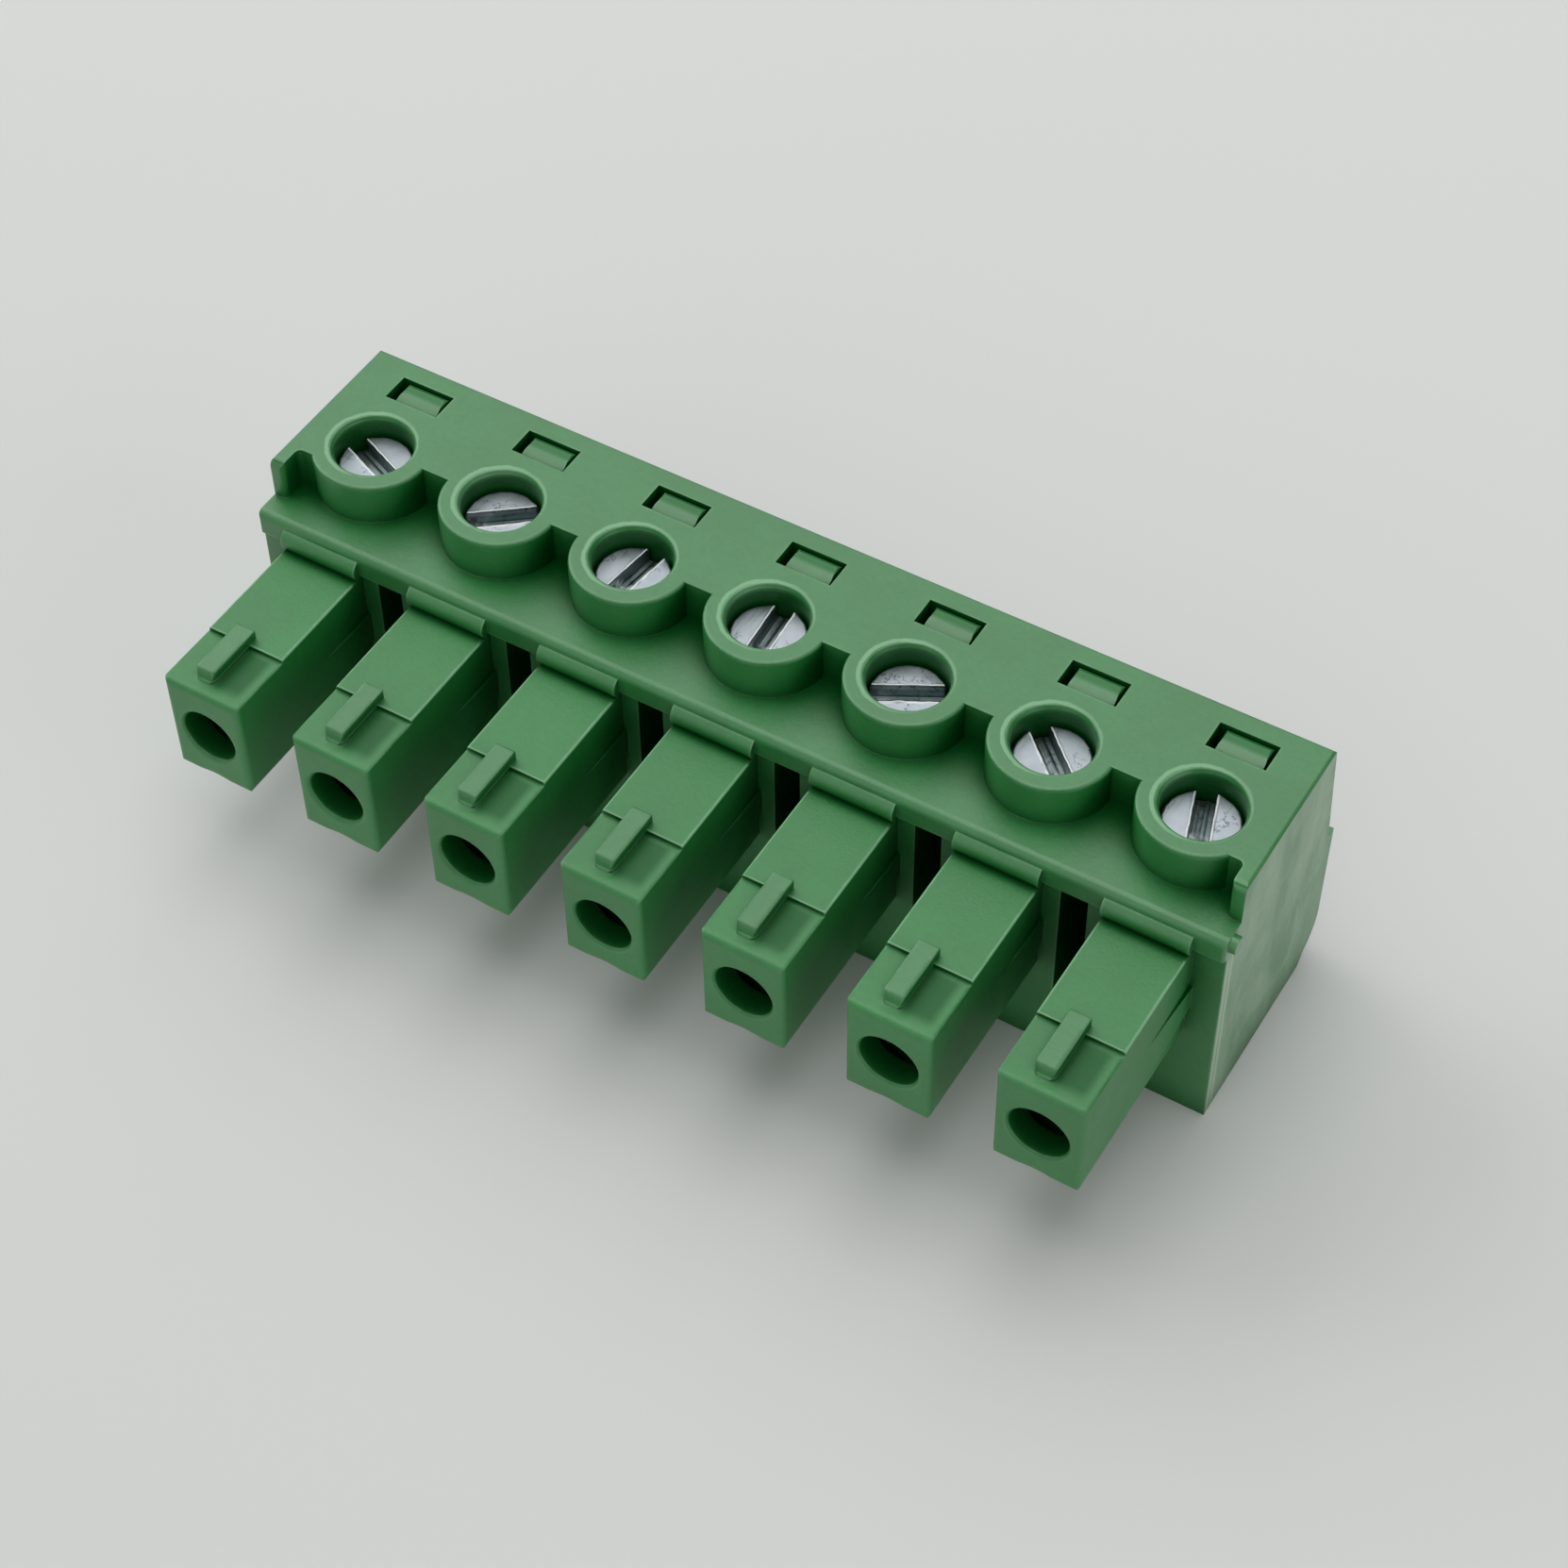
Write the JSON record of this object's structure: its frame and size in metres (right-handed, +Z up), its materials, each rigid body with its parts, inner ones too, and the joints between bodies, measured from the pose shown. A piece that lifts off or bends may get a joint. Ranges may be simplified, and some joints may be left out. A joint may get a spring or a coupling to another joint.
{
  "type": "pluggable terminal block",
  "caption": "Plug-in screw terminal block: a row of socket fingers slides onto a header's pins, and rising cages clamp the wires from behind.",
  "frame": {"origin": "centre of the footprint on the flat bottom face", "axes": "+X along the row of poles, +Y towards the wire side, +Z up towards the screw deck; the socket fingers point along -Y"},
  "size_m": [0.0358, 0.015, 0.0105],
  "materials": {
    "green_moulding": "mid green moulded polyamide with a light satin sheen",
    "zinc_screw": "bluish-white zinc plate with worn slots",
    "zinc_cage": "plain zinc plate",
    "tinned_contact": "dull tin plate on a copper alloy"
  },
  "bodies": {
    "base": {"housing": "green_moulding", "rear_cover": "green_moulding", "contact_1": "tinned_contact", "contact_2": "tinned_contact", "contact_3": "tinned_contact", "contact_4": "tinned_contact", "contact_5": "tinned_contact", "contact_6": "tinned_contact", "contact_7": "tinned_contact"},
    "screw_1": {"clamp_screw_1": "zinc_screw"},
    "cage_1": {"clamp_cage_1": "zinc_cage"},
    "screw_2": {"clamp_screw_2": "zinc_screw"},
    "cage_2": {"clamp_cage_2": "zinc_cage"},
    "screw_3": {"clamp_screw_3": "zinc_screw"},
    "cage_3": {"clamp_cage_3": "zinc_cage"},
    "screw_4": {"clamp_screw_4": "zinc_screw"},
    "cage_4": {"clamp_cage_4": "zinc_cage"},
    "screw_5": {"clamp_screw_5": "zinc_screw"},
    "cage_5": {"clamp_cage_5": "zinc_cage"},
    "screw_6": {"clamp_screw_6": "zinc_screw"},
    "cage_6": {"clamp_cage_6": "zinc_cage"},
    "screw_7": {"clamp_screw_7": "zinc_screw"},
    "cage_7": {"clamp_cage_7": "zinc_cage"}
  },
  "joints": [
    {"name": "screw_turn_1", "type": "hinge", "parent": "base", "child": "screw_1", "pos_m": [-0.01524, 0.00252, 0.0092], "axis": [0, 0, -1], "range_deg": [0, 1980]},
    {"name": "screw_turn_2", "type": "hinge", "parent": "base", "child": "screw_2", "pos_m": [-0.01016, 0.00252, 0.0092], "axis": [0, 0, -1], "range_deg": [0, 1980]},
    {"name": "screw_turn_3", "type": "hinge", "parent": "base", "child": "screw_3", "pos_m": [-0.00508, 0.00252, 0.0092], "axis": [0, 0, -1], "range_deg": [0, 1980]},
    {"name": "screw_turn_4", "type": "hinge", "parent": "base", "child": "screw_4", "pos_m": [0, 0.00252, 0.0092], "axis": [0, 0, -1], "range_deg": [0, 1980]},
    {"name": "screw_turn_5", "type": "hinge", "parent": "base", "child": "screw_5", "pos_m": [0.00508, 0.00252, 0.0092], "axis": [0, 0, -1], "range_deg": [0, 1980]},
    {"name": "screw_turn_6", "type": "hinge", "parent": "base", "child": "screw_6", "pos_m": [0.01016, 0.00252, 0.0092], "axis": [0, 0, -1], "range_deg": [0, 1980]},
    {"name": "screw_turn_7", "type": "hinge", "parent": "base", "child": "screw_7", "pos_m": [0.01524, 0.00252, 0.0092], "axis": [0, 0, -1], "range_deg": [0, 1980]},
    {"name": "cage_rise_1", "type": "slide", "parent": "base", "child": "cage_1", "axis": [0, 0, 1], "range_m": [0, 0.0022]},
    {"name": "cage_rise_2", "type": "slide", "parent": "base", "child": "cage_2", "axis": [0, 0, 1], "range_m": [0, 0.0022]},
    {"name": "cage_rise_3", "type": "slide", "parent": "base", "child": "cage_3", "axis": [0, 0, 1], "range_m": [0, 0.0022]},
    {"name": "cage_rise_4", "type": "slide", "parent": "base", "child": "cage_4", "axis": [0, 0, 1], "range_m": [0, 0.0022]},
    {"name": "cage_rise_5", "type": "slide", "parent": "base", "child": "cage_5", "axis": [0, 0, 1], "range_m": [0, 0.0022]},
    {"name": "cage_rise_6", "type": "slide", "parent": "base", "child": "cage_6", "axis": [0, 0, 1], "range_m": [0, 0.0022]},
    {"name": "cage_rise_7", "type": "slide", "parent": "base", "child": "cage_7", "axis": [0, 0, 1], "range_m": [0, 0.0022]}
  ],
  "couplings": [
    {"joint": "screw_turn_1", "follows": "cage_rise_1", "rad_per_m": 15708},
    {"joint": "screw_turn_2", "follows": "cage_rise_2", "rad_per_m": 15708},
    {"joint": "screw_turn_3", "follows": "cage_rise_3", "rad_per_m": 15708},
    {"joint": "screw_turn_4", "follows": "cage_rise_4", "rad_per_m": 15708},
    {"joint": "screw_turn_5", "follows": "cage_rise_5", "rad_per_m": 15708},
    {"joint": "screw_turn_6", "follows": "cage_rise_6", "rad_per_m": 15708},
    {"joint": "screw_turn_7", "follows": "cage_rise_7", "rad_per_m": 15708}
  ]
}
